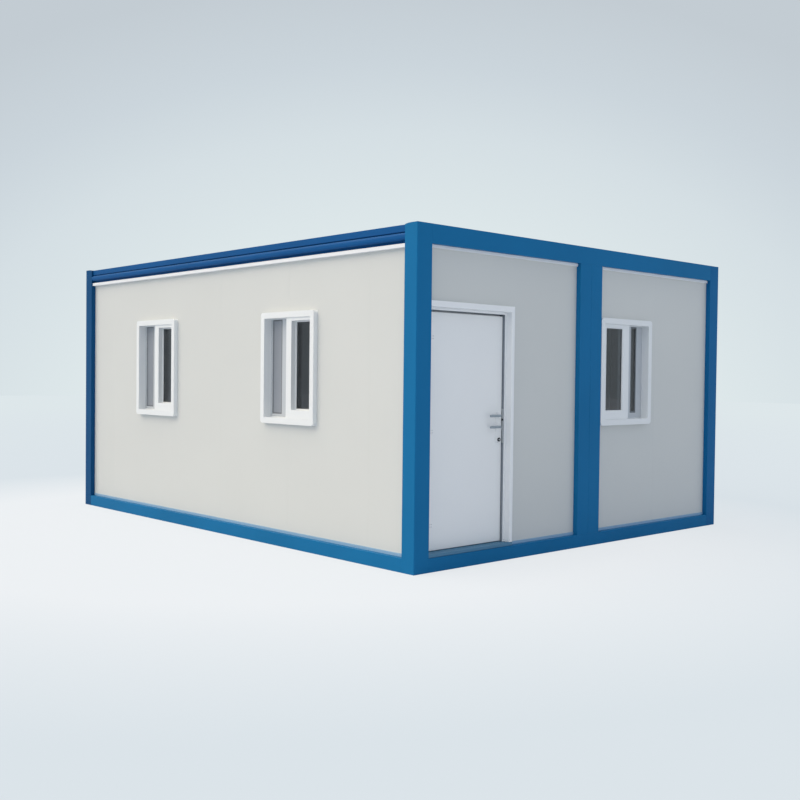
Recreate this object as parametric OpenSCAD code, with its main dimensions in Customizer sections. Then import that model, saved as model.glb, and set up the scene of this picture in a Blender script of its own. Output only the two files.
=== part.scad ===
// Steel prefab shed: two framed modules side by side, with panel walls, sliding windows and a door.
// +X runs across the front, +Y from the door end to the rear, +Z up.
// The origin is the centre of the footprint.

/* [Overall] */
// Width of one module, of two
module_w = 2300; // [2150:10:2600]
// Length from the door end to the rear end
body_l = 5850; // [5300:10:6600]
// Height to the top of the posts
body_h = 2850; // [2750:10:3200]

/* [Steel frame] */
// Width of a post across the front
post_w = 168; // [120:2:200]
// Depth of a post along the side
post_d = 148; // [140:2:200]
// Fold radius on the outer edge of a corner post
post_r = 8; // [2:1:15]
// Length of the rounded fall of a corner post's top, towards the side beam
shoulder_l = 72; // [40:1:100]
// Joint between the two modules
module_gap = 1; // [1:1:6]
// Height of the bottom beams
bottom_beam_h = 118; // [110:1:180]
// Height of the end top beams, down from the post tops
end_beam_h = 161; // [145:1:190]
// How far the tops of the side and middle top beams lie below the post tops
side_beam_drop = 8; // [8:1:30]
// Height of the rolled fold along a side top beam
beam_roll_h = 60; // [50:1:70]
// Radius of the rolled fold
beam_roll_r = 24; // [15:1:25]
// Height of the recessed web under the rolled fold
beam_neck_h = 26; // [20:1:35]
// Set-back of the flat upper band of a side top beam
beam_band_back = 20; // [6:1:30]
// Set-back of the recessed web
beam_neck_back = 50; // [30:1:60]
// Height of the narrow channel between the rolled fold and the upper band
crease_h = 9; // [4:1:14]
// Depth of that channel behind the upper band
crease_d = 14; // [6:1:20]
// Width of one of the twin middle beams
middle_beam_w = 80; // [60:5:110]

/* [Walls] */
// How far the walls lie behind the faces of the frame
wall_back = 50; // [45:1:55]
// Thickness of a wall panel
wall_t = 75; // [70:1:80]
// Height of the white trim under a side top beam
side_trim_h = 32; // [20:1:55]
// Distance from the frame face to the front of a side trim
side_trim_back = 12; // [8:1:20]
// Height of the white trim under an end top beam
end_trim_h = 28; // [20:1:40]
// Thickness of an end trim
end_trim_t = 15; // [6:1:20]
// Height of the strip at the foot of a wall
base_h = 28; // [20:1:40]
// Thickness of that strip
base_t = 5; // [4:1:12]

/* [Floor and roof] */
// Thickness of the underfloor sheet
under_t = 4; // [3:1:8]
// Height of the underside of the floor above the ground
under_z = 16; // [10:1:30]
// Number of floor joists in one module
joists = 9; // [7:1:12]
// Width of a joist
joist_w = 60; // [40:5:80]
// Thickness of the floor boards
board_t = 22; // [18:1:28]
// Thickness of a ceiling panel
ceiling_t = 40; // [30:5:60]
// Number of ribs in one roof sheet
roof_ribs = 22; // [16:1:26]
// Height of a roof rib
rib_h = 30; // [20:1:40]
// Thickness of the roof sheet
roof_t = 3; // [2:0.5:5]
// Depth of the roof sheet's ribs below the rim
roof_drop = 28; // [15:1:35]
// Thickness of the joint cap
cap_t = 4; // [3:1:8]
// Height of the joint cap's sides
cap_lip = 24; // [16:1:30]

/* [Windows] */
// Outer width of a side window's casing
win_w = 820; // [760:5:900]
// Outer width of the front window's casing
front_win_w = 853; // [800:1:900]
// Outer height of a window casing
win_h = 1048; // [950:2:1200]
// Height of the bottom of a window above the ground
win_z = 1148; // [1000:1:1200]
// Distance of each side window from the point midway between them
win_pitch = 1214; // [900:1:1400]
// How far the pair of side windows is shifted from the middle of the wall to the rear
win_shift = 45; // [-100:5:150]
// Strip of wall between the middle posts and the front window
front_win_gap = 13; // [10:1:60]
// Face width of a window casing
casing_m = 56; // [45:1:75]
// Distance from the frame face to the front of a casing
casing_front = 5; // [2:1:10]
// Radius of the casing's outer corners
casing_r = 32; // [10:1:40]
// Width of the flange inside the room
flange_w = 9; // [5:1:9]
// Thickness of the flange inside the room
flange_t = 8; // [5:1:12]
// Distance from the frame face to the front sash
sash_front = 14; // [11:1:17]
// Thickness of the front sash
sash_t = 70; // [50:1:73]
// Distance from the frame face to the rear sash
sash_rear = 88; // [85:1:94]
// Thickness of the rear sash
rear_sash_t = 22; // [20:1:26]
// Width of the front sash's outer stile in a side window
stile_w = 8; // [8:1:30]
// Width of the rear sash's outer stile in a side window
rear_stile_w = 24; // [8:1:60]
// Width of the front sash's outer stile in the front window
front_stile_w = 27; // [8:1:40]
// Width of the rear sash's outer stile in the front window
front_rear_stile_w = 95; // [8:1:100]
// Width of the front sash's meeting stile in a side window
meet_w = 80; // [58:1:120]
// Width of the front sash's meeting stile in the front window
front_meet_w = 97; // [70:1:120]
// How far the front sash reaches past the middle of a side window
sash_lap = 14; // [6:1:50]
// How far the front sash reaches past the middle of the front window
front_sash_lap = 40; // [6:1:50]
// Height of the front sash's bottom rail
rail_low = 80; // [60:1:110]
// Height of the front sash's top rail
rail_top = 32; // [26:1:60]
// Width of the rear sash's meeting stile
rear_meet_w = 186; // [140:2:200]
// How far that stile reaches past the middle of the window
rear_reach = 176; // [130:2:200]
// Height of the rear sash's bottom rail in a side window
rear_low = 32; // [25:1:45]
// Height of the rear sash's bottom rail in the front window
front_rear_low = 56; // [25:1:60]
// Height of the rear sash's top rail
rear_top = 9; // [8:1:30]
// Height of the rails that part the two tracks
track_h = 6; // [4:1:6]
// Depth of a side window's front sash behind its glass
glass_rest = 0; // [0:1:30]
// Depth of the front window's glass behind its front sash's face
front_glass_back = 14; // [8:1:36]
// Depth of the glass behind the rear sash's face
rear_glass_back = 6; // [3:1:8]
// Thickness of a glazing unit
glass_t = 10; // [8:1:12]

/* [Door] */
// Outer width of the door casing
door_w = 1038; // [1000:2:1150]
// Height of the top of the door casing above the ground
door_top = 2230; // [2150:1:2300]
// Face width of the casing's jambs
jamb_w = 38; // [30:1:60]
// Distance from the frame face to the front of the casing's hinge-side jamb
hinge_leg_back = 42; // [38:1:48]
// Face height of the casing's head
head_h = 51; // [35:1:70]
// Distance from the frame face to the inner door frame
frame_back = 69; // [60:1:74]
// Face width of the inner door frame
frame_lip = 20; // [12:1:30]
// Distance from the frame face to the door leaf
leaf_back = 92; // [90:1:100]
// Thickness of the door leaf
leaf_t = 40; // [36:1:50]
// Gap between the leaf and the door frame's sides
leaf_gap = 10; // [9:1:14]
// Gap between the leaf and the door frame's head
head_gap = 16; // [10:1:22]
// Gap between the leaf and the stop behind it
stop_gap = 5; // [5:1:8]
// Width of the stop
stop_w = 20; // [15:1:22]
// Thickness of the stop
stop_t = 8; // [6:1:14]
// Thickness of the gasket on the door frame
gasket_t = 3; // [2:0.5:4]
// Thickness of the threshold sheet
sill_h = 32; // [26:1:34]
// Gap under the leaf
leaf_under = 8; // [6:1:12]

/* [Door hardware] */
// Radius of a hinge pin
pin_r = 6; // [4:0.5:8]
// Radius of a hinge knuckle
knuckle_r = 10; // [9:0.5:11]
// Radial clearance of a hinge pin
pin_gap = 0.08; // [0.05:0.01:0.1]
// How far the hinge pins stand in front of the leaf's face
pin_lead = 4; // [3:0.5:6]
// Height of one hinge
hinge_h = 120; // [90:5:150]
// Width of a hinge's plate on the leaf
hinge_plate_w = 45; // [30:1:60]
// Distance of the end hinges from the leaf's top and bottom
hinge_end = 150; // [100:5:250]
// Height of the upper lever above the ground
upper_lever_z = 1269; // [1265:1:1320]
// Height of the lower lever above the ground
lower_lever_z = 1171; // [1130:1:1175]
// Height of the key cylinder above the ground
key_z = 1057; // [1040:1:1100]
// Radius of the key cylinder's rose
key_r = 14; // [10:1:18]
// Distance of the key cylinder from the leaf's free edge
key_backset = 36; // [32:1:60]
// Length of a lever
lever_l = 122; // [90:1:140]
// Radius of a lever bar
lever_r = 11; // [6:0.5:12]
// Distance from a lock plate to the middle of a lever bar
lever_reach = 40; // [30:1:50]
// Distance of the levers' spindles from the leaf's free edge
backset = 60; // [36:1:70]
// Radius of a lever's spindle
spindle_r = 6; // [4:0.5:8]
// Width of the lock plates
plate_w = 40; // [32:1:40]
// Thickness of the lock plates
plate_t = 4; // [2:0.5:5]
// How far the lock plates reach above the upper lever and below the key cylinder
plate_end = 32; // [24:1:60]

/* [Hidden] */
$fn = 48;
FRAME_BLUE = "#1f6fae";
EDGE_BLUE = "#1b62a0";
PANEL = "#d8d8d2";
TRIM = "#f4f6f8";
BASE = "#90b5d0";
PLASTIC = "#ecf0f0";
GLASS = "#4b5055";
STEEL = "#b8bdc2";
RUBBER = "#2b2e33";

half_w = module_w;
half_l = body_l / 2;
beam_top = body_h - side_beam_drop;       // top of the side and middle top beams
beam_low = body_h - end_beam_h;           // underside of all top beams
wall_low = bottom_beam_h;
floor_z = bottom_beam_h + board_t;        // finished floor
seat = 0.3;                               // clearance of what is fitted into an opening
eps = 1;
wall_in = wall_back + wall_t;             // from the frame face to the inner face of a wall
frame_deep = wall_in + flange_t;          // from the frame face to the back of a window casing

// --- placing pieces on the sides ---
// Front face: x runs along the front from the middle, y runs inwards
module on_front() { translate([0, -half_l, 0]) children(); }
module on_rear() { rotate([0, 0, 180]) translate([0, -half_l, 0]) children(); }
// Side faces: x runs along the side, positive towards the door end on the left side
module on_left() { translate([-half_w, 0, 0]) rotate([0, 0, -90]) children(); }
module on_right() { mirror([1, 0, 0]) on_left() children(); }

// Block from one corner to the other
module block(a, b) { translate(a) cube(b - a); }

// --- steel frame ---
// Corner post; its outer corner is at the origin, growing to +X and +Y.
// The outer edge is folded and the top falls in a curve to the side beam's top.
module corner_post() {
  shoulder_y = post_d - shoulder_l;
  shoulder_r = (pow(shoulder_l, 2) + pow(side_beam_drop, 2)) / (2 * side_beam_drop);
  color(FRAME_BLUE) difference() {
    union() {
      block([post_r, 0, 0], [post_w, post_d, body_h]);
      block([0, post_r, 0], [post_r, post_d, body_h]);
      translate([post_r, post_r, 0]) cylinder(r = post_r, h = body_h);
    }
    difference() {
      block([-eps, shoulder_y, beam_top - eps], [post_w + eps, post_d + eps, body_h + eps]);
      translate([-2 * eps, shoulder_y, body_h - shoulder_r])
        rotate([0, 90, 0]) cylinder(r = shoulder_r, h = post_w + 4 * eps);
    }
  }
}
module front_left_post() { translate([-half_w, -half_l, 0]) corner_post(); }
module front_right_post() { mirror([1, 0, 0]) front_left_post(); }
module rear_left_post() { mirror([0, 1, 0]) front_left_post(); }
module rear_right_post() { mirror([1, 0, 0]) rear_left_post(); }

// Two posts back to back at the joint of the modules
module middle_post_pair() {
  color(FRAME_BLUE) for (s = [0, 1]) mirror([s, 0, 0])
    block([module_gap / 2, 0, bottom_beam_h], [module_gap / 2 + post_w, post_d, beam_low]);
}
module front_middle_posts() { on_front() middle_post_pair(); }
module rear_middle_posts() { on_rear() middle_post_pair(); }

module end_bottom_beam() {
  color(FRAME_BLUE) block([-half_w + post_w, 0, 0], [half_w - post_w, post_d, bottom_beam_h]);
}
module front_bottom_beam() { on_front() end_bottom_beam(); }
module rear_bottom_beam() { on_rear() end_bottom_beam(); }

module side_bottom_beam() {
  color(FRAME_BLUE) block([-half_l + post_d, 0, 0], [half_l - post_d, post_w, bottom_beam_h]);
}
module left_bottom_beam() { on_left() side_bottom_beam(); }
module right_bottom_beam() { on_right() side_bottom_beam(); }

// The twin beams on the joint, at the height given
module middle_beams(low, high) {
  color(FRAME_BLUE) for (s = [0, 1]) mirror([s, 0, 0])
    block([module_gap / 2, -half_l + post_d, low], [module_gap / 2 + middle_beam_w, half_l - post_d, high]);
}
module middle_bottom_beams() { middle_beams(0, bottom_beam_h); }
module middle_top_beams() { middle_beams(beam_low, beam_top); }

module end_top_beam() {
  color(FRAME_BLUE) block([-half_w + post_w, 0, beam_low], [half_w - post_w, post_d, body_h]);
}
module front_top_beam() { on_front() end_top_beam(); }
module rear_top_beam() { on_rear() end_top_beam(); }

// Section of a side top beam, x inwards and y up from its underside
module side_beam_section() {
  high = beam_top - beam_low;
  roll_top = beam_neck_h + beam_roll_h;
  translate([beam_neck_back, 0]) square([post_w - beam_neck_back, high]);
  band_low = roll_top + crease_h;
  translate([beam_band_back, band_low]) square([post_w - beam_band_back, high - band_low]);
  channel_x = beam_band_back + crease_d;
  translate([channel_x, beam_neck_h]) square([post_w - channel_x, high - beam_neck_h]);
  translate([beam_roll_r, beam_neck_h]) square([post_w - beam_roll_r, beam_roll_h]);
  translate([0, beam_neck_h + beam_roll_r]) square([post_w, beam_roll_h - 2 * beam_roll_r]);
  for (y = [beam_neck_h + beam_roll_r, roll_top - beam_roll_r])
    translate([beam_roll_r, y]) circle(r = beam_roll_r);
}
// Rolled section: flat upper band, narrow channel, rounded fold, recessed web
module side_top_beam() {
  span = body_l - 2 * post_d;
  color(EDGE_BLUE) translate([-span / 2, 0, beam_low])
    rotate([90, 0, 90]) linear_extrude(span) side_beam_section();
}
module left_top_beam() { on_left() side_top_beam(); }
module right_top_beam() { on_right() side_top_beam(); }

// --- floor and roof ---
room_x = half_w - post_w;                 // inner face of the side beams
room_y = half_l - post_d;                 // inner face of the end beams
mid_x = module_gap / 2 + middle_beam_w;   // outer face of a middle beam
joist_low = under_z + under_t;

module floor_joists() {
  color(STEEL) for (s = [0, 1], i = [0 : joists - 1]) mirror([s, 0, 0]) {
    y = -room_y + (i + 0.5) * 2 * room_y / joists;
    block([mid_x, y - joist_w / 2, joist_low], [room_x, y + joist_w / 2, bottom_beam_h]);
  }
}
module underfloor_sheets() {
  color(STEEL) for (s = [0, 1]) mirror([s, 0, 0])
    block([mid_x, -room_y, under_z], [room_x, room_y, joist_low]);
}
// One deck inside the walls, cut round the posts and the door's threshold
module floor_boards() {
  color("#8d8a84") difference() {
    block([-half_w + wall_in + seat, -half_l + wall_in + seat, bottom_beam_h],
          [half_w - wall_in - seat, half_l - wall_in - seat, floor_z]);
    post_clearance(bottom_beam_h - eps, floor_z + eps);
    on_front() block([door_x0, 0, bottom_beam_h - eps], [door_x1 + seat, door_deep + seat, floor_z + eps]);
  }
}
// Room taken by the posts, for what is cut round them
module post_clearance(low, high) {
  for (sx = [0, 1], sy = [0, 1]) mirror([sx, 0, 0]) mirror([0, sy, 0]) {
    block([half_w - post_w - seat, half_l - post_d - seat, low], [half_w, half_l, high]);
    block([-eps, half_l - post_d - seat, low], [module_gap / 2 + post_w + seat, half_l, high]);
  }
}
module ceiling_panels() {
  low = beam_low - ceiling_t;
  color(TRIM) difference() {
    block([-half_w + wall_in + seat, -half_l + wall_in + seat, low],
          [half_w - wall_in - seat, half_l - wall_in - seat, beam_low]);
    post_clearance(low - eps, beam_low + eps);
    block([-seat, -half_l, low - eps], [seat, half_l, beam_low + eps]);
  }
}
// Ribbed sheet: the outline of one sheet runs along Y and is drawn across X
function rib_line(z) = [for (i = [0 : roof_ribs - 1], p = [[0.15, 0], [0.3, 1], [0.5, 1], [0.65, 0]])
  [-room_y + (i + p[0]) * 2 * room_y / roof_ribs, z + p[1] * rib_h]];
function reversed(line) = [for (i = [len(line) - 1 : -1 : 0]) line[i]];
module roof_sheets() {
  low = beam_top - roof_drop - rib_h - roof_t;
  outline = concat([[-room_y, low + roof_t]], rib_line(low + roof_t), [[room_y, low + roof_t]],
                   [[room_y, low]], reversed(rib_line(low)), [[-room_y, low]]);
  color(STEEL) for (s = [0, 1]) mirror([s, 0, 0])
    translate([mid_x, 0, 0]) rotate([90, 0, 90]) linear_extrude(room_x - mid_x) polygon(outline);
}
// Folded cap over the joint between the modules
module roof_joint_cap() {
  outer = mid_x + cap_t;
  color(STEEL) {
    block([-outer, -room_y, beam_top], [outer, room_y, beam_top + cap_t]);
    for (s = [0, 1]) mirror([s, 0, 0])
      block([mid_x, -room_y, beam_top - cap_lip], [outer, room_y, beam_top + cap_t]);
  }
}

// --- walls ---
side_wall_x = half_l - post_d;            // half length of a side wall
side_windows = [-win_pitch - win_shift, win_pitch - win_shift];
module win_hole(w) {
  half = w / 2 + seat;
  block([-half, wall_back - eps, win_z - seat], [half, wall_in + eps, win_z + win_h + seat]);
}
module side_wall() {
  color(PANEL) difference() {
    block([-side_wall_x, wall_back, wall_low], [side_wall_x, wall_in, beam_low]);
    for (x = side_windows) translate([x, 0, 0]) win_hole(win_w);
  }
}
module left_wall() { on_left() side_wall(); }
module right_wall() { on_right() side_wall(); }

bay_in = module_gap / 2 + post_w;         // from the middle to the inner edge of a bay
bay_out = half_w - post_w;                // from the middle to the outer edge of a bay
module end_wall() { color(PANEL) block([bay_in, wall_back, wall_low], [bay_out, wall_in, beam_low]); }
module rear_left_wall() { on_rear() end_wall(); }
module rear_right_wall() { on_rear() mirror([1, 0, 0]) end_wall(); }

door_x0 = -bay_out;                       // hinge side of the door casing
door_x1 = door_x0 + door_w;               // lock side of the door casing
module front_wall_beside_door() {
  color(PANEL) on_front() block([door_x1 + seat, wall_back, wall_low], [-bay_in, wall_in, beam_low]);
}
module front_wall_over_door() {
  color(PANEL) on_front() block([door_x0, wall_back, door_top + seat], [door_x1 + seat, wall_in, beam_low]);
}
front_win_x = bay_in + front_win_gap + front_win_w / 2;
module front_right_wall() {
  color(PANEL) on_front() difference() {
    block([bay_in, wall_back, wall_low], [bay_out, wall_in, beam_low]);
    translate([front_win_x, 0, 0]) win_hole(front_win_w);
  }
}

module side_top_trims() {
  color(TRIM) for (s = [0, 1]) mirror([s, 0, 0]) on_left()
    block([-side_wall_x, side_trim_back, beam_low - side_trim_h], [side_wall_x, wall_back, beam_low]);
}
module end_trim_pair() {
  for (s = [0, 1]) mirror([s, 0, 0])
    block([bay_in, wall_back - end_trim_t, beam_low - end_trim_h], [bay_out, wall_back, beam_low]);
}
module end_top_trims() {
  color(TRIM) { on_front() end_trim_pair(); on_rear() end_trim_pair(); }
}

// Strips that cover the foot of the walls on the bottom beams
base_front = wall_back - base_t;
base_top = bottom_beam_h + base_h;
module side_base_strips() {
  color(BASE) for (s = [0, 1]) mirror([s, 0, 0]) on_left()
    block([-side_wall_x, base_front, bottom_beam_h], [side_wall_x, wall_back, base_top]);
}
module bay_base_strip() { block([bay_in, base_front, bottom_beam_h], [bay_out, wall_back, base_top]); }
module end_base_strips() {
  color(BASE) {
    on_front() bay_base_strip();
    on_front() block([door_x1 + seat, base_front, bottom_beam_h], [-bay_in, wall_back, base_top]);
    on_rear() for (s = [0, 1]) mirror([s, 0, 0]) bay_base_strip();
  }
}

// --- windows: x along the wall from the window's middle, y inwards, z from the window's foot ---
side_clear = win_w / 2 - casing_m;        // half width of the clear opening, side windows
front_clear = front_win_w / 2 - casing_m; // the same in the front window
track_y0 = sash_front + sash_t + seat;
track_y1 = sash_rear - seat;
rear_stile_x = rear_meet_w - rear_reach;  // end of the rear sash's meeting stile

// Flat block with rounded corners seen from the front
module rounded_face(w, h, r, y0, y1) {
  translate([-w / 2, y0, 0]) {
    block([r, 0, 0], [w - r, y1 - y0, h]);
    block([0, 0, r], [w, y1 - y0, h - r]);
    for (x = [r, w - r], z = [r, h - r])
      translate([x, 0, z]) rotate([-90, 0, 0]) cylinder(r = r, h = y1 - y0);
  }
}
module window_frame(w) {
  clear = w / 2 - casing_m;
  flange_x = w / 2 + flange_w;
  color(PLASTIC) {
    difference() {
      union() {
        rounded_face(w, win_h, casing_r, casing_front, wall_back);
        block([-w / 2, wall_back, 0], [w / 2, wall_in + seat, win_h]);
        block([-flange_x, wall_in + seat, -flange_w], [flange_x, frame_deep, win_h + flange_w]);
      }
      block([-clear, 0, casing_m], [clear, frame_deep + eps, win_h - casing_m]);
    }
    block([-clear, track_y0, casing_m], [clear, track_y1, casing_m + track_h]);
    block([-clear, track_y0, win_h - casing_m - track_h], [clear, track_y1, win_h - casing_m]);
  }
}
// Block inside the casing, with its ends given from the clear opening's foot and head
module in_casing(x0, x1, low, high, y0, y1) {
  block([x0, y0, casing_m + low], [x1, y1, win_h - casing_m - high]);
}
// Front sash on the positive side: half width of the opening, lap, meeting stile, outer stile
module front_sash(clear, lap, meet, stile) {
  difference() {
    in_casing(-lap, clear - seat, seat, seat, sash_front, sash_front + sash_t);
    in_casing(meet - lap, clear - stile, rail_low, rail_top, 0, frame_deep);
  }
}
// Rear sash on the negative side: half width of the opening, outer stile, bottom rail
module rear_sash(clear, stile, low) {
  difference() {
    in_casing(seat - clear, rear_stile_x, seat, seat, sash_rear, sash_rear + rear_sash_t);
    in_casing(stile - clear, -rear_reach, low, rear_top, 0, frame_deep);
  }
}
module side_sashes() {
  color(PLASTIC) {
    front_sash(side_clear, sash_lap, meet_w, stile_w);
    rear_sash(side_clear, rear_stile_w, rear_low);
  }
}
// Pane with a clearance inside its sash
module pane(x0, x1, low, high, y) {
  in_casing(x0 + seat, x1 - seat, low + seat, high + seat, y, y + glass_t);
}
rear_glass_y = sash_rear + rear_glass_back;
side_glass_y = sash_front + sash_t - glass_t - glass_rest;
module side_glass() {
  color(GLASS) {
    pane(meet_w - sash_lap, side_clear - stile_w, rail_low, rail_top, side_glass_y);
    pane(rear_stile_w - side_clear, -rear_reach, rear_low, rear_top, rear_glass_y);
  }
}
// The two windows of a side wall
module on_side_windows() { for (x = side_windows) translate([x, 0, win_z]) children(); }
module on_front_window() { on_front() translate([front_win_x, 0, win_z]) mirror([1, 0, 0]) children(); }

module left_window_frames() { on_left() on_side_windows() window_frame(win_w); }
module right_window_frames() { on_right() on_side_windows() window_frame(win_w); }
module front_window_frame() { on_front_window() window_frame(front_win_w); }
module left_window_sashes() { on_left() on_side_windows() side_sashes(); }
module right_window_sashes() { on_right() on_side_windows() side_sashes(); }
module front_window_sashes() {
  color(PLASTIC) on_front_window() {
    front_sash(front_clear, front_sash_lap, front_meet_w, front_stile_w);
    rear_sash(front_clear, front_rear_stile_w, front_rear_low);
  }
}
module left_window_glass() { on_left() on_side_windows() side_glass(); }
module right_window_glass() { on_right() on_side_windows() side_glass(); }
module front_window_glass() {
  color(GLASS) on_front_window() {
    pane(front_meet_w - front_sash_lap, front_clear - front_stile_w, rail_low, rail_top,
      sash_front + front_glass_back);
    pane(front_rear_stile_w - front_clear, -rear_reach, front_rear_low, rear_top, rear_glass_y);
  }
}

// --- door: on the front face, x from the middle of the building ---
sill_z = bottom_beam_h + sill_h;
jamb_x0 = door_x0 + jamb_w;               // inner edge of the casing, hinge side
jamb_x1 = door_x1 - jamb_w;               // inner edge of the casing, lock side
head_z = door_top - head_h;               // inner edge of the casing, top
frame_x0 = jamb_x0 + frame_lip;           // inner edge of the door frame, hinge side
frame_x1 = jamb_x1 - frame_lip;           // inner edge of the door frame, lock side
frame_z = head_z - frame_lip;             // inner edge of the door frame, top
leaf_x0 = frame_x0 + leaf_gap;
leaf_x1 = frame_x1 - leaf_gap;
leaf_z0 = sill_z + leaf_under;
leaf_z1 = frame_z - head_gap;
leaf_y1 = leaf_back + leaf_t;
stop_y = leaf_y1 + stop_gap;              // face of the stop behind the leaf
door_deep = stop_y + stop_t;              // from the frame face to the back of the door frame
pin_x = leaf_x0 + knuckle_r - pin_lead;
pin_y = leaf_back - pin_lead;
spindle_x = leaf_x1 - backset;
lever_levels = [upper_lever_z, lower_lever_z];

// Deep box that lines the opening in the wall
module door_casing() {
  color(PLASTIC) on_front() difference() {
    block([door_x0, casing_front, sill_z], [door_x1, wall_in, door_top]);
    block([jamb_x0, 0, 0], [jamb_x1, wall_in + eps, head_z]);
    block([door_x0 - eps, 0, 0], [jamb_x0 + eps, hinge_leg_back, head_z]);
  }
}
// Frame that the leaf hangs in, with a stop behind the leaf
module door_frame() {
  color(PLASTIC) on_front() {
    difference() {
      block([jamb_x0, frame_back, sill_z], [jamb_x1, door_deep, head_z]);
      block([frame_x0, 0, 0], [frame_x1, stop_y, frame_z]);
      block([frame_x0 + stop_w, stop_y - eps, 0], [frame_x1 - stop_w, door_deep + eps, frame_z - stop_w]);
    }
    for (z = hinge_levels) translate([pin_x, pin_y, z]) jamb_knuckles();
  }
}
hinge_levels = [leaf_z0 + hinge_end, (leaf_z0 + leaf_z1 - hinge_h) / 2, leaf_z1 - hinge_end - hinge_h];
knuckle_h = hinge_h / 3;
knuckle_gap = 0.5;                        // between the ends of two knuckles
knuckle_room = 2;                         // round a knuckle in the leaf
// Two outer knuckles on the door frame, with a bore for the pin
module jamb_knuckles() {
  for (z = [0, 2 * knuckle_h]) translate([0, 0, z]) difference() {
    union() {
      cylinder(r = knuckle_r, h = knuckle_h);
      block([frame_x0 - pin_x - eps, -pin_lead, 0], [0, 0, knuckle_h]);
    }
    translate([0, 0, -eps]) cylinder(r = pin_r + pin_gap, h = knuckle_h + 2 * eps);
  }
}
// Middle knuckle with the pin, carried by a plate on the leaf
module door_hinge_pins() {
  low = knuckle_h + knuckle_gap;
  high = 2 * knuckle_h - knuckle_gap;
  color(STEEL) on_front() for (z = hinge_levels) translate([pin_x, pin_y, z]) {
    cylinder(r = pin_r, h = hinge_h);
    translate([0, 0, low]) cylinder(r = knuckle_r, h = high - low);
    block([0, 0, low], [hinge_plate_w, pin_lead, high]);
  }
}
// Seal round the sides and the head, cut away at the hinges
module door_gasket() {
  y0 = frame_back + gasket_t;
  color(RUBBER) on_front() difference() {
    block([frame_x0, y0, sill_z], [frame_x1, leaf_y1, frame_z]);
    block([frame_x0 + gasket_t, 0, 0], [frame_x1 - gasket_t, wall_in + door_deep, frame_z - gasket_t]);
    for (z = hinge_levels) block([frame_x0 - eps, 0, z - seat], [pin_x, leaf_y1 + eps, z + hinge_h + seat]);
  }
}
module door_threshold() {
  color("#5d7890") on_front() block([door_x0, casing_front, bottom_beam_h], [door_x1, door_deep, sill_z]);
}
// Holes for the two spindles
module spindle_holes() {
  for (z = lever_levels)
    translate([spindle_x, 0, z]) rotate([-90, 0, 0]) cylinder(r = spindle_r + pin_gap, h = 2 * leaf_y1);
}
module door_leaf() {
  color("#c4ccd4") on_front() difference() {
    block([leaf_x0, leaf_back, leaf_z0], [leaf_x1, leaf_y1, leaf_z1]);
    for (z = hinge_levels) translate([pin_x, pin_y, z - knuckle_room])
      cylinder(r = knuckle_r + knuckle_room, h = hinge_h + 2 * knuckle_room);
    spindle_holes();
  }
}
rose_r = spindle_r + 6;                   // round rose that each spindle passes through
rose_t = 6;
key_x = leaf_x1 - key_backset;
plate_x0 = spindle_x - plate_w / 2;
plate_z0 = key_z - plate_end;
plate_z1 = upper_lever_z + plate_end;
// Plates on both faces, with roses for the spindles and the key cylinder
module door_lock_plates() {
  color(STEEL) on_front() for (y = [leaf_back - plate_t, leaf_y1]) {
    out = y < leaf_y1 ? y - rose_t : y + plate_t;
    difference() {
      union() {
        block([plate_x0, y, plate_z0], [plate_x0 + plate_w, y + plate_t, plate_z1]);
        for (z = lever_levels)
          translate([spindle_x, out, z]) rotate([-90, 0, 0]) cylinder(r = rose_r, h = rose_t);
      }
      spindle_holes();
    }
    translate([key_x, min(out, y), key_z]) rotate([-90, 0, 0]) cylinder(r = key_r, h = plate_t + rose_t);
  }
}
// Spindle with a bar on each side, pointing to the hinges
module lever(z) {
  y_out = leaf_back - plate_t - lever_reach;
  y_in = leaf_y1 + plate_t + lever_reach;
  color(STEEL) on_front() translate([spindle_x, 0, z]) {
    translate([0, y_out, 0]) rotate([-90, 0, 0]) cylinder(r = spindle_r, h = y_in - y_out);
    for (y = [y_out, y_in]) translate([-lever_l, y, 0]) {
      rotate([0, 90, 0]) cylinder(r = lever_r, h = lever_l);
      translate([lever_l, 0, 0]) sphere(r = lever_r);
      sphere(r = lever_r);
    }
  }
}
module upper_lever() { lever(upper_lever_z); }
module lower_lever() { lever(lower_lever_z); }

front_left_post();
front_right_post();
rear_left_post();
rear_right_post();
front_middle_posts();
rear_middle_posts();
front_bottom_beam();
rear_bottom_beam();
left_bottom_beam();
right_bottom_beam();
middle_bottom_beams();
front_top_beam();
rear_top_beam();
left_top_beam();
right_top_beam();
middle_top_beams();
floor_joists();
underfloor_sheets();
floor_boards();
ceiling_panels();
roof_sheets();
roof_joint_cap();
left_wall();
right_wall();
rear_left_wall();
rear_right_wall();
front_wall_beside_door();
front_wall_over_door();
front_right_wall();
side_top_trims();
end_top_trims();
side_base_strips();
end_base_strips();
left_window_frames();
right_window_frames();
front_window_frame();
left_window_sashes();
right_window_sashes();
front_window_sashes();
left_window_glass();
right_window_glass();
front_window_glass();
door_casing();
door_frame();
door_gasket();
door_threshold();
door_leaf();
door_hinge_pins();
door_lock_plates();
upper_lever();
lower_lever();
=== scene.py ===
import math
import bmesh
import bpy
from mathutils import Matrix, Vector


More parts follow.
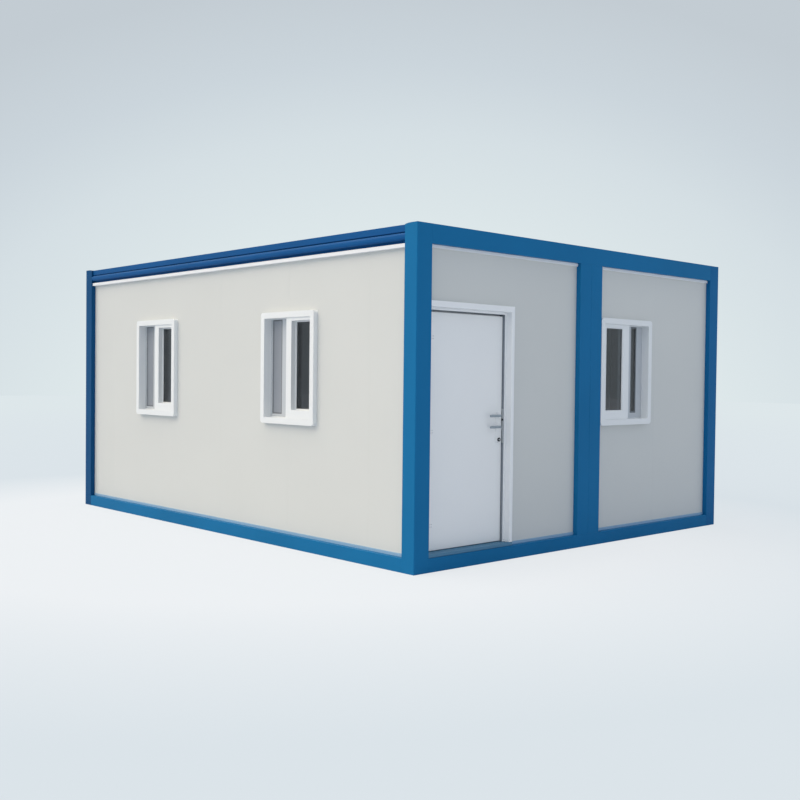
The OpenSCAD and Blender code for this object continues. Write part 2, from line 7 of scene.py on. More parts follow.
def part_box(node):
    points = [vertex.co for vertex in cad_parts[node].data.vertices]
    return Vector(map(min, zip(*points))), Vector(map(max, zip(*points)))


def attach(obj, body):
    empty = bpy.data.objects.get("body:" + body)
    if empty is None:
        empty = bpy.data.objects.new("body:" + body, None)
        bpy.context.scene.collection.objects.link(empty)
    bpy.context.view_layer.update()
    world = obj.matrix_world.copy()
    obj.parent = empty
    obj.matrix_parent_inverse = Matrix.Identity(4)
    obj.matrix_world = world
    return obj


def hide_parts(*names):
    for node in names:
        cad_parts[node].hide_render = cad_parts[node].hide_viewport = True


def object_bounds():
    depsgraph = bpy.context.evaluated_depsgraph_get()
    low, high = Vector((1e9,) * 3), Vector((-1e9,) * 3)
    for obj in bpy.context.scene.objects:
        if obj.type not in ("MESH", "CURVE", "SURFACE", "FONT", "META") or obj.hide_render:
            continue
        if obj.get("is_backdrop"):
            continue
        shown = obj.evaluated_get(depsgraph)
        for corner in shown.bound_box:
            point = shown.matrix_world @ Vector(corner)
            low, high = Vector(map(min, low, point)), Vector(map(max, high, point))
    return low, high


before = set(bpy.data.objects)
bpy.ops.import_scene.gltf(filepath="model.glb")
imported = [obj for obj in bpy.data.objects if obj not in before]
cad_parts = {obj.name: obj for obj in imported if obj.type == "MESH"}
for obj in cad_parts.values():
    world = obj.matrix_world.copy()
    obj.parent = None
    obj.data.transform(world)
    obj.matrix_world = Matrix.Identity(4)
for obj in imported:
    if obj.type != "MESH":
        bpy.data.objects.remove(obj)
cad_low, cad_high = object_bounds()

MM = 0.001
SCENE = bpy.context.scene

# ---------------------------------------------------------------------------
# Posts: hollow corner posts and twin middle posts, folded from 3 mm steel sheet, with a
# small round at each fold. They are sprayed with blue enamel and bolted between the
# floor frame and the roof frame, which they carry.
# ---------------------------------------------------------------------------
POSTS = ["front_left_post", "front_middle_posts", "rear_middle_posts", "front_right_post",
         "rear_left_post", "rear_right_post"]
POST_FOLD = 1.2 * MM
WELD = 0.02 * MM
FLAT_ANGLE = math.radians(1)
SHARP_ANGLE = 30
TONE_SPOTS = (0.3, 0.7)


def linear(code):
    """A colour written as sRGB hex, as the linear values that shaders use."""
    parts = [int(code[i:i + 2], 16) / 255 for i in (1, 3, 5)]
    return [c / 12.92 if c <= 0.04045 else ((c + 0.055) / 1.055) ** 2.4 for c in parts] + [1.0]


def shade(code, share):
    """A colour written as sRGB hex, as linear values scaled by a share."""
    return [min(c * share, 1) for c in linear(code)[:3]] + [1]


def add(tree, kind, links=None, **settings):
    """One node with its settings, and links from other sockets into its inputs."""
    node = tree.nodes.new(kind)
    for key, value in settings.items():
        if key in node.inputs:
            node.inputs[key].default_value = value
        else:
            setattr(node, key, value)
    for key, source in (links or {}).items():
        tree.links.new(source, node.inputs[key])
    return node


def ramp(tree, source, stops):
    """A colour ramp that runs through the given places and linear colours."""
    node = add(tree, "ShaderNodeValToRGB", {"Fac": source})
    elements = node.color_ramp.elements
    while len(elements) < len(stops):
        elements.new(1.0)
    for element, (spot, colour) in zip(elements, stops):
        element.position = spot
        element.color = colour
    return node.outputs["Color"]


def finish_named(name, **surface_values):
    """A new material: its tree, its surface shader with plain values, and Object coordinates."""
    mat = bpy.data.materials.new(name)
    mat.use_nodes = True
    tree = mat.node_tree
    surface = tree.nodes["Principled BSDF"]
    for key, value in surface_values.items():
        surface.inputs[key.replace("_", " ")].default_value = value
    place = add(tree, "ShaderNodeTexCoord").outputs["Object"]
    return mat, tree, surface, place


def tone_drift(tree, surface, place, code, spread, patch):
    """Base colour that drifts by a small share, in soft patches of the size given in metres."""
    cloud = add(tree, "ShaderNodeTexNoise", {"Vector": place}, Scale=1 / patch, Detail=3.0)
    shades = (shade(code, 1 - spread), shade(code, 1 + spread))
    tone = ramp(tree, cloud.outputs["Fac"], list(zip(TONE_SPOTS, shades)))
    tree.links.new(tone, surface.inputs["Base Color"])


def fine_grain(tree, surface, place, pitch, depth):
    """Bump from a fine even noise, with its pitch and depth in metres."""
    grain = add(tree, "ShaderNodeTexNoise", {"Vector": place}, Scale=1 / pitch, Detail=1.0)
    bump = add(tree, "ShaderNodeBump", {"Height": grain.outputs["Fac"]}, Strength=0.5, Distance=depth)
    tree.links.new(bump.outputs["Normal"], surface.inputs["Normal"])


def blue_enamel(name, code, gloss=0.06, rough=0.42):
    """Sprayed alkyd enamel on steel: deep even blue, a soft sheen, and an orange peel that
    is 5 mm wide, which only softens the reflections."""
    mat, tree, surface, place = finish_named(name, Roughness=rough, IOR=1.5,
                                              Specular_IOR_Level=gloss)
    tone_drift(tree, surface, place, code, spread=0.05, patch=0.9)
    fine_grain(tree, surface, place, pitch=5 * MM, depth=0.05 * MM)
    return mat


def cad_copy(nodes, name):
    """A copy of CAD nodes as one mesh whose flat faces are joined up again."""
    bm = bmesh.new()
    for node in nodes:
        bm.from_mesh(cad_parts[node].data)
    bmesh.ops.remove_doubles(bm, verts=bm.verts, dist=WELD)
    bmesh.ops.dissolve_limit(bm, angle_limit=FLAT_ANGLE, verts=bm.verts, edges=bm.edges)
    return mesh_piece(bm, name)


def mesh_piece(bm, name):
    """Turns a bmesh into a scene object that lies at the origin."""
    mesh = bpy.data.meshes.new(name)
    bm.to_mesh(mesh)
    bm.free()
    piece = bpy.data.objects.new(name, mesh)
    SCENE.collection.objects.link(piece)
    return piece


def round_edges(piece, radius, segments=2, sharp=SHARP_ANGLE, wide=None, share=1.0):
    """Rounds the edges sharper than an angle in degrees. Where a test is given, an edge whose
    two ends pass it gets the full radius, and the others get a share of it."""
    mesh = piece.data
    bevel = piece.modifiers.new("rounds", "BEVEL")
    bevel.width = radius
    bevel.segments = segments
    bevel.harden_normals = True
    bevel.use_clamp_overlap = True
    if wide:
        bm = bmesh.new()
        bm.from_mesh(mesh)
        weight = bm.edges.layers.float.new("bevel_weight_edge")
        for edge in bm.edges:
            if len(edge.link_faces) == 2 and edge.calc_face_angle(0) > math.radians(sharp):
                edge[weight] = 1.0 if wide(*(v.co for v in edge.verts)) else share
        bm.to_mesh(mesh)
        bm.free()
        bevel.limit_method = "WEIGHT"
    else:
        bevel.limit_method = "ANGLE"
        bevel.angle_limit = math.radians(sharp)
    for face in mesh.polygons:
        face.use_smooth = True
    mesh.set_sharp_from_angle(angle=math.radians(sharp))
    return piece


def fit_on(piece, body, slot, material, *nodes):
    """Gives a finished piece its material and body, and hides the CAD nodes it stands for. The slot is
    not used.
    """
    if not piece.data.materials:
        piece.data.materials.append(material)
    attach(piece, body)
    if nodes:
        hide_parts(*nodes)


# The front right post and both rear corner posts get darker shades of the same blue enamel.
post_enamel = blue_enamel("sprayed blue enamel", "#1a6fa2")
darker_post_enamel = blue_enamel("sprayed blue enamel, a darker tone", "#15669c")
darkest_post_enamel = blue_enamel("sprayed blue enamel, the darkest tone", "#114c7c")
darker_posts = {"front_right_post": darker_post_enamel, "rear_left_post": darkest_post_enamel,
           "rear_right_post": darkest_post_enamel}
for node in POSTS:
    post = round_edges(cad_copy([node], node + "_folded"), POST_FOLD)
    fit_on(post, "root", "frame_paint", darker_posts.get(node, post_enamel), node)

# ---------------------------------------------------------------------------
# Module joint seals: compressible rubber profiles pressed into the joint between the twin
# posts, front and rear. They keep wind and rain out, and lie a little behind the face.
# ---------------------------------------------------------------------------
SEAL_BACK = 8 * MM
SEAL_DEPTH = 14 * MM
SEAL_TUCK = 1 * MM
SEAL_EASE = 2 * MM
BAR_EASE = 0.4 * MM


def loose_boxes(node):
    """The lowest and highest corners of each separate solid in a CAD node, in the same order
    on every run."""
    bm = bmesh.new()
    bm.from_mesh(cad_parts[node].data)
    bmesh.ops.remove_doubles(bm, verts=bm.verts, dist=WELD)
    left, boxes = dict.fromkeys(bm.verts), []
    while left:
        queue = [left.popitem()[0]]
        low, high = queue[0].co.copy(), queue[0].co.copy()
        while queue:
            vert = queue.pop()
            for i in range(3):
                low[i], high[i] = min(low[i], vert.co[i]), max(high[i], vert.co[i])
            for edge in vert.link_edges:
                other = edge.other_vert(vert)
                if other in left:
                    del left[other]
                    queue.append(other)
        boxes.append((low, high))
    bm.free()
    return boxes


def eased_bar(name, low, high, ease=BAR_EASE):
    """A flat bar between two corners, with its edges eased."""
    bm = bmesh.new()
    place = Matrix.Translation((Vector(low) + Vector(high)) / 2)
    size = Matrix.Diagonal([*(Vector(high) - Vector(low)), 1])
    bmesh.ops.create_cube(bm, size=1, matrix=place @ size)
    return round_edges(mesh_piece(bm, name), ease)


joint_rubber, tree, surface, place = finish_named("dark blue joint rubber", Roughness=0.7, IOR=1.5)
tone_drift(tree, surface, place, "#1b3f5c", spread=0.05, patch=0.05)
for node, inward in (("front_middle_posts", 1), ("rear_middle_posts", -1)):
    (left_low, left_high), (right_low, _) = sorted(loose_boxes(node), key=lambda box: box[0][0])
    outer_face = (left_low if inward > 0 else left_high)[1]
    near = outer_face + inward * SEAL_BACK
    span = sorted((near, near + inward * SEAL_DEPTH))
    seal = eased_bar(node + "_joint_seal",
                     (left_high[0] - SEAL_TUCK, span[0], left_low[2] + SEAL_TUCK),
                     (right_low[0] + SEAL_TUCK, span[1], left_high[2] - SEAL_TUCK), SEAL_EASE)
    fit_on(seal, "root", "rubber_seal", joint_rubber)

# ---------------------------------------------------------------------------
# Straight beams: cold-rolled steel sections, welded into the floor frame and the roof
# frame and sprayed like the posts. A hairline shows where they meet the posts.
# ---------------------------------------------------------------------------
STRAIGHT_BEAMS = ["front_bottom_beam", "rear_bottom_beam", "left_bottom_beam", "right_bottom_beam",
                  "middle_bottom_beams", "front_top_beam", "rear_top_beam", "middle_top_beams"]
for node in STRAIGHT_BEAMS:
    beam = round_edges(cad_copy([node], node + "_rolled"), POST_FOLD)
    fit_on(beam, "root", "frame_paint", post_enamel, node)

# ---------------------------------------------------------------------------
# Side top beams: roll-formed roof rims with a flat band, a round fold that leads
# water off, and a recessed web under it. Their enamel is a deeper, duller blue.
# ---------------------------------------------------------------------------
RIM_FOLD = 2 * MM
rim_enamel = blue_enamel("deep blue enamel on the roof rims", "#0d548f", gloss=0.1, rough=0.5)
for node in ["left_top_beam", "right_top_beam"]:
    rim = round_edges(cad_copy([node], node + "_rolled"), RIM_FOLD)
    fit_on(rim, "root", "frame_paint", rim_enamel, node)

# ---------------------------------------------------------------------------
# Floor: galvanised joists between the beams, thin sheets under them against damp,
# and a deck of boards covered with grey vinyl sheet.
# ---------------------------------------------------------------------------
SHEET_EDGE = 0.4 * MM
DECK_EDGE = 1 * MM
SPANGLE = 12 * MM
SPANGLE_SHADE = 0.86
ZINC_ROUGHNESS = (0.55, 0.7)
FLECK = 4 * MM
FLECK_SHADES = (0.8, 1.1)


def zinc_coat(name, code):
    """Weathered hot-dip galvanised sheet: dull cool grey metal under a thin pale oxide, with
    crystal spangles about 12 mm wide."""
    mat, tree, surface, place = finish_named(name, Metallic=0.5)
    spangle = add(tree, "ShaderNodeTexVoronoi", {"Vector": place}, Scale=1 / SPANGLE)
    tone = ramp(tree, spangle.outputs["Color"], [(0.0, shade(code, SPANGLE_SHADE)), (1.0, linear(code))])
    tree.links.new(tone, surface.inputs["Base Color"])
    rough = add(tree, "ShaderNodeMapRange", {"Value": spangle.outputs["Color"]})
    for end, value in zip(("To Min", "To Max"), ZINC_ROUGHNESS):
        rough.inputs[end].default_value = value
    tree.links.new(rough.outputs["Result"], surface.inputs["Roughness"])
    return mat


def vinyl_floor(name, code):
    """Calendered vinyl sheet: warm grey with fine flecks 4 mm wide and a soft sheen."""
    mat, tree, surface, place = finish_named(name, Roughness=0.5, IOR=1.5)
    fleck = add(tree, "ShaderNodeTexVoronoi", {"Vector": place}, Scale=1 / FLECK)
    shades = [shade(code, share) for share in FLECK_SHADES]
    tone = ramp(tree, fleck.outputs["Color"], list(zip((0.0, 1.0), shades)))
    tree.links.new(tone, surface.inputs["Base Color"])
    fine_grain(tree, surface, place, pitch=3 * MM, depth=0.1 * MM)
    return mat


zinc = zinc_coat("galvanised steel sheet", "#9fa4a8")
for node in ["floor_joists", "underfloor_sheets"]:
    sheet = round_edges(cad_copy([node], node + "_zinc"), SHEET_EDGE, 1)
    fit_on(sheet, "root", "galvanised_steel", zinc, node)
deck = round_edges(cad_copy(["floor_boards"], "floor_deck"), DECK_EDGE)
vinyl = vinyl_floor("grey vinyl floor sheet", "#8f8c86")
fit_on(deck, "root", "floor_board", vinyl, "floor_boards")

# ---------------------------------------------------------------------------
# Roof: trapezoid sheets of weathered galvanised steel between the rims, and a folded cap
# over the joint of the two modules. Hex screws on sealing washers hold the sheets on
# every second crest, and the cap along both of its sides.
# ---------------------------------------------------------------------------
CAP_EDGE = 1 * MM
CAP_SCREW_STEP = 0.45
CAP_SCREW_PLACE = 0.72
CAP_SCREW_SINK = 1 * MM
HEX_SIDES = 6
RIBS = 22
CREST_PLACE = 0.2
SCREW_LINES = (0.1, 0.52, 0.94)


def screw_tree(name):
    """Geometry Nodes: a row of screws, each a flat washer with a head of some sides on it."""
    tree = bpy.data.node_groups.new(name, "GeometryNodeTree")
    face = tree.interface
    face.new_socket("Geometry", in_out="INPUT", socket_type="NodeSocketGeometry")
    sockets = {}
    for label, kind in (("Start", "Vector"), ("Step", "Vector"), ("Turn", "Rotation"), ("Count", "Int"),
                        ("Washer Radius", "Float"), ("Washer Height", "Float"),
                        ("Head Radius", "Float"), ("Head Height", "Float"), ("Head Sides", "Int")):
        socket = face.new_socket(label, in_out="INPUT", socket_type="NodeSocket" + kind)
        sockets[label] = socket.identifier
    face.new_socket("Geometry", in_out="OUTPUT", socket_type="NodeSocketGeometry")
    given = add(tree, "NodeGroupInput").outputs
    line = add(tree, "GeometryNodeMeshLine", {"Count": given["Count"], "Offset": given["Step"],
                                              "Start Location": given["Start"]})
    washer = add(tree, "GeometryNodeMeshCylinder", {"Radius": given["Washer Radius"],
                                                    "Depth": given["Washer Height"]}, Vertices=14)
    head = add(tree, "GeometryNodeMeshCylinder", {"Vertices": given["Head Sides"],
                                                  "Radius": given["Head Radius"],
                                                  "Depth": given["Head Height"]})
    whole = add(tree, "ShaderNodeCombineXYZ", {"Z": given["Head Height"]})
    half = add(tree, "ShaderNodeVectorMath", {0: whole.outputs[0]}, operation="SCALE", Scale=0.5)
    lifted = add(tree, "GeometryNodeTransform", {"Geometry": head.outputs["Mesh"],
                                                 "Translation": half.outputs[0]})
    both = add(tree, "GeometryNodeJoinGeometry")
    tree.links.new(washer.outputs["Mesh"], both.inputs[0])
    tree.links.new(lifted.outputs["Geometry"], both.inputs[0])
    spread = add(tree, "GeometryNodeInstanceOnPoints", {"Points": line.outputs["Mesh"],
                                                        "Instance": both.outputs[0],
                                                        "Rotation": given["Turn"]})
    real = add(tree, "GeometryNodeRealizeInstances", {"Geometry": spread.outputs[0]})
    add(tree, "NodeGroupOutput", {"Geometry": real.outputs[0]})
    return tree, sockets


SCREWS, SCREW_INPUT = screw_tree("row of screws")


def screw_rows(name, rows, facing, washer, head, sides):
    """All rows of one kind of screw as one mesh. A row is its start, its step and its count;
    the washer and the head are each a radius and a height."""
    carrier = bpy.data.objects.new(name + "_rows", bpy.data.meshes.new(name + "_rows"))
    SCENE.collection.objects.link(carrier)
    turn = Vector(facing).to_track_quat("Z", "Y").to_euler()
    bm = bmesh.new()
    for start, step, count in rows:
        row = carrier.modifiers.new("row", "NODES")
        row.node_group = SCREWS
        for label, value in (("Start", start), ("Step", step), ("Turn", turn), ("Count", count),
                             ("Washer Radius", washer[0]), ("Washer Height", washer[1]),
                             ("Head Radius", head[0]), ("Head Height", head[1]),
                             ("Head Sides", sides)):
            row[SCREW_INPUT[label]] = value
        carrier.update_tag()
        shaped = carrier.evaluated_get(bpy.context.evaluated_depsgraph_get())
        mesh = bpy.data.meshes.new_from_object(shaped)
        bm.from_mesh(mesh)
        bpy.data.meshes.remove(mesh)
        carrier.modifiers.remove(row)
    bpy.data.objects.remove(carrier)
    return mesh_piece(bm, name)


roof = round_edges(cad_copy(["roof_sheets"], "roof_ribbed_sheets"), SHEET_EDGE, 1)
fit_on(roof, "root", "galvanised_steel", zinc, "roof_sheets")
cap = round_edges(cad_copy(["roof_joint_cap"], "roof_folded_cap"), CAP_EDGE)
fit_on(cap, "root", "galvanised_steel", zinc, "roof_joint_cap")

bright_zinc, tree, surface, place = finish_named("bright zinc-plated screws",
                                                 Metallic=1.0, Roughness=0.35)
tone_drift(tree, surface, place, "#c3c6c8", spread=0.06, patch=0.02)
cap_low, cap_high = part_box("roof_joint_cap")
cap_screws = int((cap_high[1] - cap_low[1]) / CAP_SCREW_STEP)
cap_rows = [((edge * CAP_SCREW_PLACE, cap_low[1] + CAP_SCREW_STEP / 2, cap_high[2] - CAP_SCREW_SINK),
             (0, CAP_SCREW_STEP, 0), cap_screws) for edge in (cap_low[0], cap_high[0])]
sheet_low, sheet_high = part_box("roof_sheets")
screw_step = 2 * (sheet_high[1] - sheet_low[1]) / RIBS
crest = sheet_low[1] + screw_step * CREST_PLACE
roof_rows = [((side * sheet_high[0] * share, crest, sheet_high[2]), (0, screw_step, 0), RIBS // 2)
             for side in (-1, 1) for share in SCREW_LINES]
roof_screws = screw_rows("roof_screws", roof_rows + cap_rows, (0, 0, 1),
                         washer=(9 * MM, 2 * MM), head=(4.5 * MM, 4 * MM), sides=HEX_SIDES)
fit_on(roof_screws, "root", "galvanised_steel", bright_zinc)

# ---------------------------------------------------------------------------
# Walls: sandwich panels 1150 mm wide, steel skins on a foam core, set back between
# the posts. Tongue and groove joints leave a hairline on both faces.
# ---------------------------------------------------------------------------
PANEL_WIDTH = 1.15
JOINT_HALF = 0.7 * MM
JOINT_DEPTH = 0.7 * MM
NARROWEST_PANEL = 0.1
CUT_SLACK = 1e-6
ON_PLANE = 1e-5


def grooved(piece, along, across, places, half, depth):
    """Cuts V grooves into both faces of an upright plate. They stand at the given places on
    the axis that runs along it; across is the axis of its thickness."""
    bm = bmesh.new()
    bm.from_mesh(piece.data)
    near_face, far_face = (pick(v.co[across] for v in bm.verts) for pick in (min, max))
    normal = Vector((0, 0, 0))
    normal[along] = 1
    for spot in places:
        for cut in (spot - half, spot, spot + half):
            centre = Vector((0, 0, 0))
            centre[along] = cut
            bmesh.ops.bisect_plane(bm, geom=bm.verts[:] + bm.edges[:] + bm.faces[:],
                                   plane_co=centre, plane_no=normal, dist=CUT_SLACK)
        for vert in bm.verts:
            if abs(vert.co[along] - spot) < ON_PLANE:
                if abs(vert.co[across] - near_face) < ON_PLANE:
                    vert.co[across] += depth
                elif abs(vert.co[across] - far_face) < ON_PLANE:
                    vert.co[across] -= depth
    bm.to_mesh(piece.data)
    bm.free()


def panel_joints(low, high):
    """Places of the joints between panels, counted from the middle of a wall."""
    middle, half = (low + high) / 2, (high - low) / 2
    count = int(half / PANEL_WIDTH)
    return [middle + i * PANEL_WIDTH for i in range(-count, count + 1)
            if half - abs(i * PANEL_WIDTH) > NARROWEST_PANEL]


def panel_coat(name, code):
    """Coil-coated steel skin: warm off-white, satin, with a fine embossing 3 mm wide."""
    mat, tree, surface, place = finish_named(name, Roughness=0.55, IOR=1.5, Specular_IOR_Level=0.35)
    tone_drift(tree, surface, place, code, spread=0.012, patch=1.2)
    fine_grain(tree, surface, place, pitch=3 * MM, depth=0.04 * MM)
    return mat


wall_coat = panel_coat("off-white coated steel skin", "#d6d8d5")
WALLS = {"left_wall": 1, "right_wall": 1, "rear_left_wall": 0, "rear_right_wall": 0,
         "front_wall_beside_door": 0, "front_wall_over_door": 0, "front_right_wall": 0}
for node, along in WALLS.items():
    low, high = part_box(node)
    wall = cad_copy([node], node + "_panels")
    if high[along] - low[along] > PANEL_WIDTH and node != "front_wall_over_door":
        places = panel_joints(low[along], high[along])
        grooved(wall, along, 1 - along, places, JOINT_HALF, JOINT_DEPTH)
    fit_on(wall, "root", "wall_panel", wall_coat, node)

# ---------------------------------------------------------------------------
# Ceiling and top trims: white coated steel. The ceiling sheet is roll-formed with a
# groove every 200 mm; the trims are folded strips riveted under the roof beams.
# ---------------------------------------------------------------------------
CEILING_PITCH = 0.2
CEILING_GROOVE = 3 * MM
TRIM_FOLD = 1.5 * MM
RIVET_STEP = 0.4
RIVET_SIDES = 12


def white_coat(name, code):
    """Polyester coating on steel strip: clean white with a satin sheen."""
    mat, tree, surface, place = finish_named(name, Roughness=0.4, IOR=1.5)
    tone_drift(tree, surface, place, code, spread=0.01, patch=0.7)
    return mat


white_steel = white_coat("white coated steel strip", "#eef0f2")
ceiling = cad_copy(["ceiling_panels"], "ceiling_sheets")
low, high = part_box("ceiling_panels")
lines = int((high[0] - low[0]) / 2 / CEILING_PITCH)
places = [(i + 0.5) * CEILING_PITCH * side for i in range(lines) for side in (-1, 1)]
grooved(ceiling, 0, 2, places, CEILING_GROOVE, CEILING_GROOVE)
fit_on(ceiling, "root", "white_trim", white_steel, "ceiling_panels")
for node in ["side_top_trims", "end_top_trims"]:
    trim = round_edges(cad_copy([node], node + "_folded"), TRIM_FOLD)
    fit_on(trim, "root", "white_trim", white_steel, node)

trim_low, trim_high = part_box("side_top_trims")
side_count = int((trim_high[1] - trim_low[1]) / RIVET_STEP)
rivet_z = (trim_low[2] + trim_high[2]) / 2
first = -(side_count - 1) / 2 * RIVET_STEP
for name, facing, x in (("left_trim_rivets", -1, trim_low[0]), ("right_trim_rivets", 1, trim_high[0])):
    row = ((x, first, rivet_z), (0, RIVET_STEP, 0), side_count)
    rivets = screw_rows(name, [row], (facing, 0, 0),
                        washer=(4 * MM, 0.8 * MM), head=(2.6 * MM, 1.6 * MM), sides=RIVET_SIDES)
    fit_on(rivets, "root", "white_trim", white_steel)

# ---------------------------------------------------------------------------
# Base strips: cold-formed channels at the foot of the walls, in a light blue-grey
# coating, clipped over the panels and standing on the bottom beams. The coating is
# drawn darker than the walls, partly as painted shade at the foot of the walls.
# ---------------------------------------------------------------------------
STRIP_FOLD = 1.2 * MM
# The blue-grey is partly the channel's coating and partly painted shade at the wall foot.
base_coat_and_shade = white_coat("light blue-grey coated base channel", "#90b5d0")
for node in ["side_base_strips", "end_base_strips"]:
    strip = round_edges(cad_copy([node], node + "_folded"), STRIP_FOLD)
    fit_on(strip, "root", "base_strip", base_coat_and_shade, node)

# ---------------------------------------------------------------------------
# Window casings: moulded from white plastic, with softly rounded faces and corners.
# They are pushed through the wall panel, and a flange inside the room holds them.
# ---------------------------------------------------------------------------
CASING_ROUND = 22 * MM
CASING_FLANGE = 12 * MM
EDGE_SLACK = 0.1 * MM
WINDOW_SIDES = {"left": (0, -1), "right": (0, 1), "front": (1, -1)}


def window_plastic(name, code):
    """Window PVC: an even tone, smooth, with a clear soft gloss."""
    mat, tree, surface, place = finish_named(name, Roughness=0.32, IOR=1.54)
    tone_drift(tree, surface, place, code, spread=0.008, patch=0.4)
    return mat


def outer_rim(node, axis, sign, reach):
    """A test for the edges of a casing that touch its outer face and lie on its outline, which
    is everything within the reach of a side of its box."""
    boxes = loose_boxes(node)
    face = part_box(node)[(1 + sign) // 2][axis]

    def on_rim(a, b):
        if min(abs(a[axis] - face), abs(b[axis] - face)) > EDGE_SLACK:
            return False
        return all(any(abs(limit[i] - end[i]) < reach
                       for box in boxes for limit in box for i in (1 - axis, 2)) for end in (a, b))
    return on_rim


pvc = window_plastic("white window plastic", "#eceff0")
for side, (axis, sign) in WINDOW_SIDES.items():
    node = side + ("_window_frame" if side == "front" else "_window_frames")
    casing = cad_copy([node], node + "_moulded")
    round_edges(casing, CASING_ROUND, segments=5,
                wide=outer_rim(node, axis, sign, CASING_FLANGE), share=0.06)
    fit_on(casing, "root", "white_plastic", pvc, node)

# ---------------------------------------------------------------------------
# Sashes and glass: two white plastic sliding sashes in each window, each with a lightly
# tinted pane in a grey rubber gasket. Only the front sashes have a glazing bead. The rear
# panes of the side windows carry a privacy film. The rear sashes are drawn in a greyer
# plastic, as painted shade of the deep recess they sit in.
# ---------------------------------------------------------------------------
BEAD_WIDTH = 11 * MM
BEAD_DEPTH = 9 * MM
BEAD_SLOPE = 3 * MM
GASKET_WIDTH = 14 * MM
GASKET_DEPTH = 2.5 * MM
FRONT_SASH = 72 * MM
REAR_SASH = 86 * MM
TRACK_STEP = 12 * MM
SASH_EDGE = 2.5 * MM


def pane_ring(bm, low, high, axis, start, end, width, slope=0.0):
    """A mitred ring of four bars inside a pane's outline. It runs from start to end along the
    axis of the pane's thickness; slope is how much its far face is narrowed inside."""
    across = 1 - axis
    rims = []
    for depth, grow in ((start, 0.0), (start, width), (end, width - slope), (end, 0.0)):
        rim = []
        for u, z in ((0, 0), (1, 0), (1, 1), (0, 1)):
            point = Vector((0, 0, 0))
            point[axis] = depth
            point[across] = high[across] - grow if u else low[across] + grow
            point[2] = high[2] - grow if z else low[2] + grow
            rim.append(bm.verts.new(point))
        rims.append(rim)
    for i in range(4):
        for k in range(4):
            a, b = rims[i], rims[(i + 1) % 4]
            bm.faces.new((a[k], a[(k + 1) % 4], b[(k + 1) % 4], b[k]))


gasket_rubber, tree, surface, place = finish_named("grey rubber glazing gasket",
                                                   Roughness=0.6, IOR=1.5)
tone_drift(tree, surface, place, "#7d8287", spread=0.05, patch=0.05)

clear_glass, tree, surface, place = finish_named("tinted window glass", Roughness=0.02, IOR=1.5,
                                                 Transmission_Weight=1.0)
tone_drift(tree, surface, place, "#c8d0d6", spread=0.02, patch=0.6)
film, tree, surface, place = finish_named("grey privacy film on glass", Roughness=0.35, IOR=1.5,
                                          Transmission_Weight=0.25)
tone_drift(tree, surface, place, "#a3a9b2", spread=0.04, patch=0.5)

shaded_rear_pvc = window_plastic("white window plastic with painted shade", "#c3c8cd")
for side, (axis, sign) in WINDOW_SIDES.items():
    node = side + "_window_sashes"
    sash = cad_copy([node], node + "_moulded")
    frame_face = abs((cad_low, cad_high)[(1 + sign) // 2][axis])
    sash.data.materials.append(pvc)
    sash.data.materials.append(shaded_rear_pvc)
    # Faces that lie deeper than the rear sash's front get the greyer plastic: painted shade.
    for face in sash.data.polygons:
        if min(frame_face - abs(sash.data.vertices[v].co[axis]) for v in face.vertices) > REAR_SASH:
            face.material_index = 1
    round_edges(sash, SASH_EDGE, segments=3)
    fit_on(sash, "root", "white_plastic", pvc, node)

    pane_node = side + "_window_glass"
    panes = loose_boxes(pane_node)
    beads, gaskets = bmesh.new(), bmesh.new()
    outer_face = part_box(node)[(1 + sign) // 2][axis]
    for low, high in panes:
        for way in (-1, 1):
            face = high[axis] if way > 0 else low[axis]
            pane_ring(gaskets, low, high, axis, face, face + way * GASKET_DEPTH, GASKET_WIDTH)
            if way == sign and abs(low[axis]) > abs(outer_face) - FRONT_SASH:
                start, end = (face + way * depth for depth in (GASKET_DEPTH, GASKET_DEPTH + BEAD_DEPTH))
                pane_ring(beads, low, high, axis, start, end, BEAD_WIDTH, BEAD_SLOPE)
    for bm, suffix, slot, material in ((beads, "_glazing_beads", "white_plastic", pvc),
                                       (gaskets, "_glazing_gaskets", "rubber_seal", gasket_rubber)):
        bmesh.ops.recalc_face_normals(bm, faces=bm.faces)
        fit_on(mesh_piece(bm, side + suffix), "root", slot, material)

    glass = cad_copy([pane_node], pane_node + "_panes")
    glass.data.materials.append(clear_glass)
    glass.data.materials.append(film)
    if side != "front":
        outermost = max(abs(low[axis] + high[axis]) / 2 for low, high in panes)
        for face in glass.data.polygons:
            if abs(face.center[axis]) < outermost - TRACK_STEP:
                face.material_index = 1
    fit_on(glass, "root", "window_glass", clear_glass, pane_node)

# ---------------------------------------------------------------------------
# Door casing and frame: a deep white steel box that lines the opening, and inside it
# the frame that the leaf hangs in, with hinge knuckles on the left and a stop behind.
# ---------------------------------------------------------------------------
CASING_FOLD = 5 * MM
JAMB_FOLD = 1 * MM
white_door_steel = white_coat("white enamel on the door casing", "#f4f6f7")
casing = cad_copy(["door_casing"], "door_casing_folded")
casing_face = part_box("door_casing")[0][1]
round_edges(casing, CASING_FOLD, segments=3,
            wide=lambda a, b: max(a[1], b[1]) < casing_face + EDGE_SLACK, share=0.3)
fit_on(casing, "root", "white_plastic", white_door_steel, "door_casing")
jambs = round_edges(cad_copy(["door_frame"], "door_frame_folded"), JAMB_FOLD)
fit_on(jambs, "root", "white_plastic", white_door_steel, "door_frame")

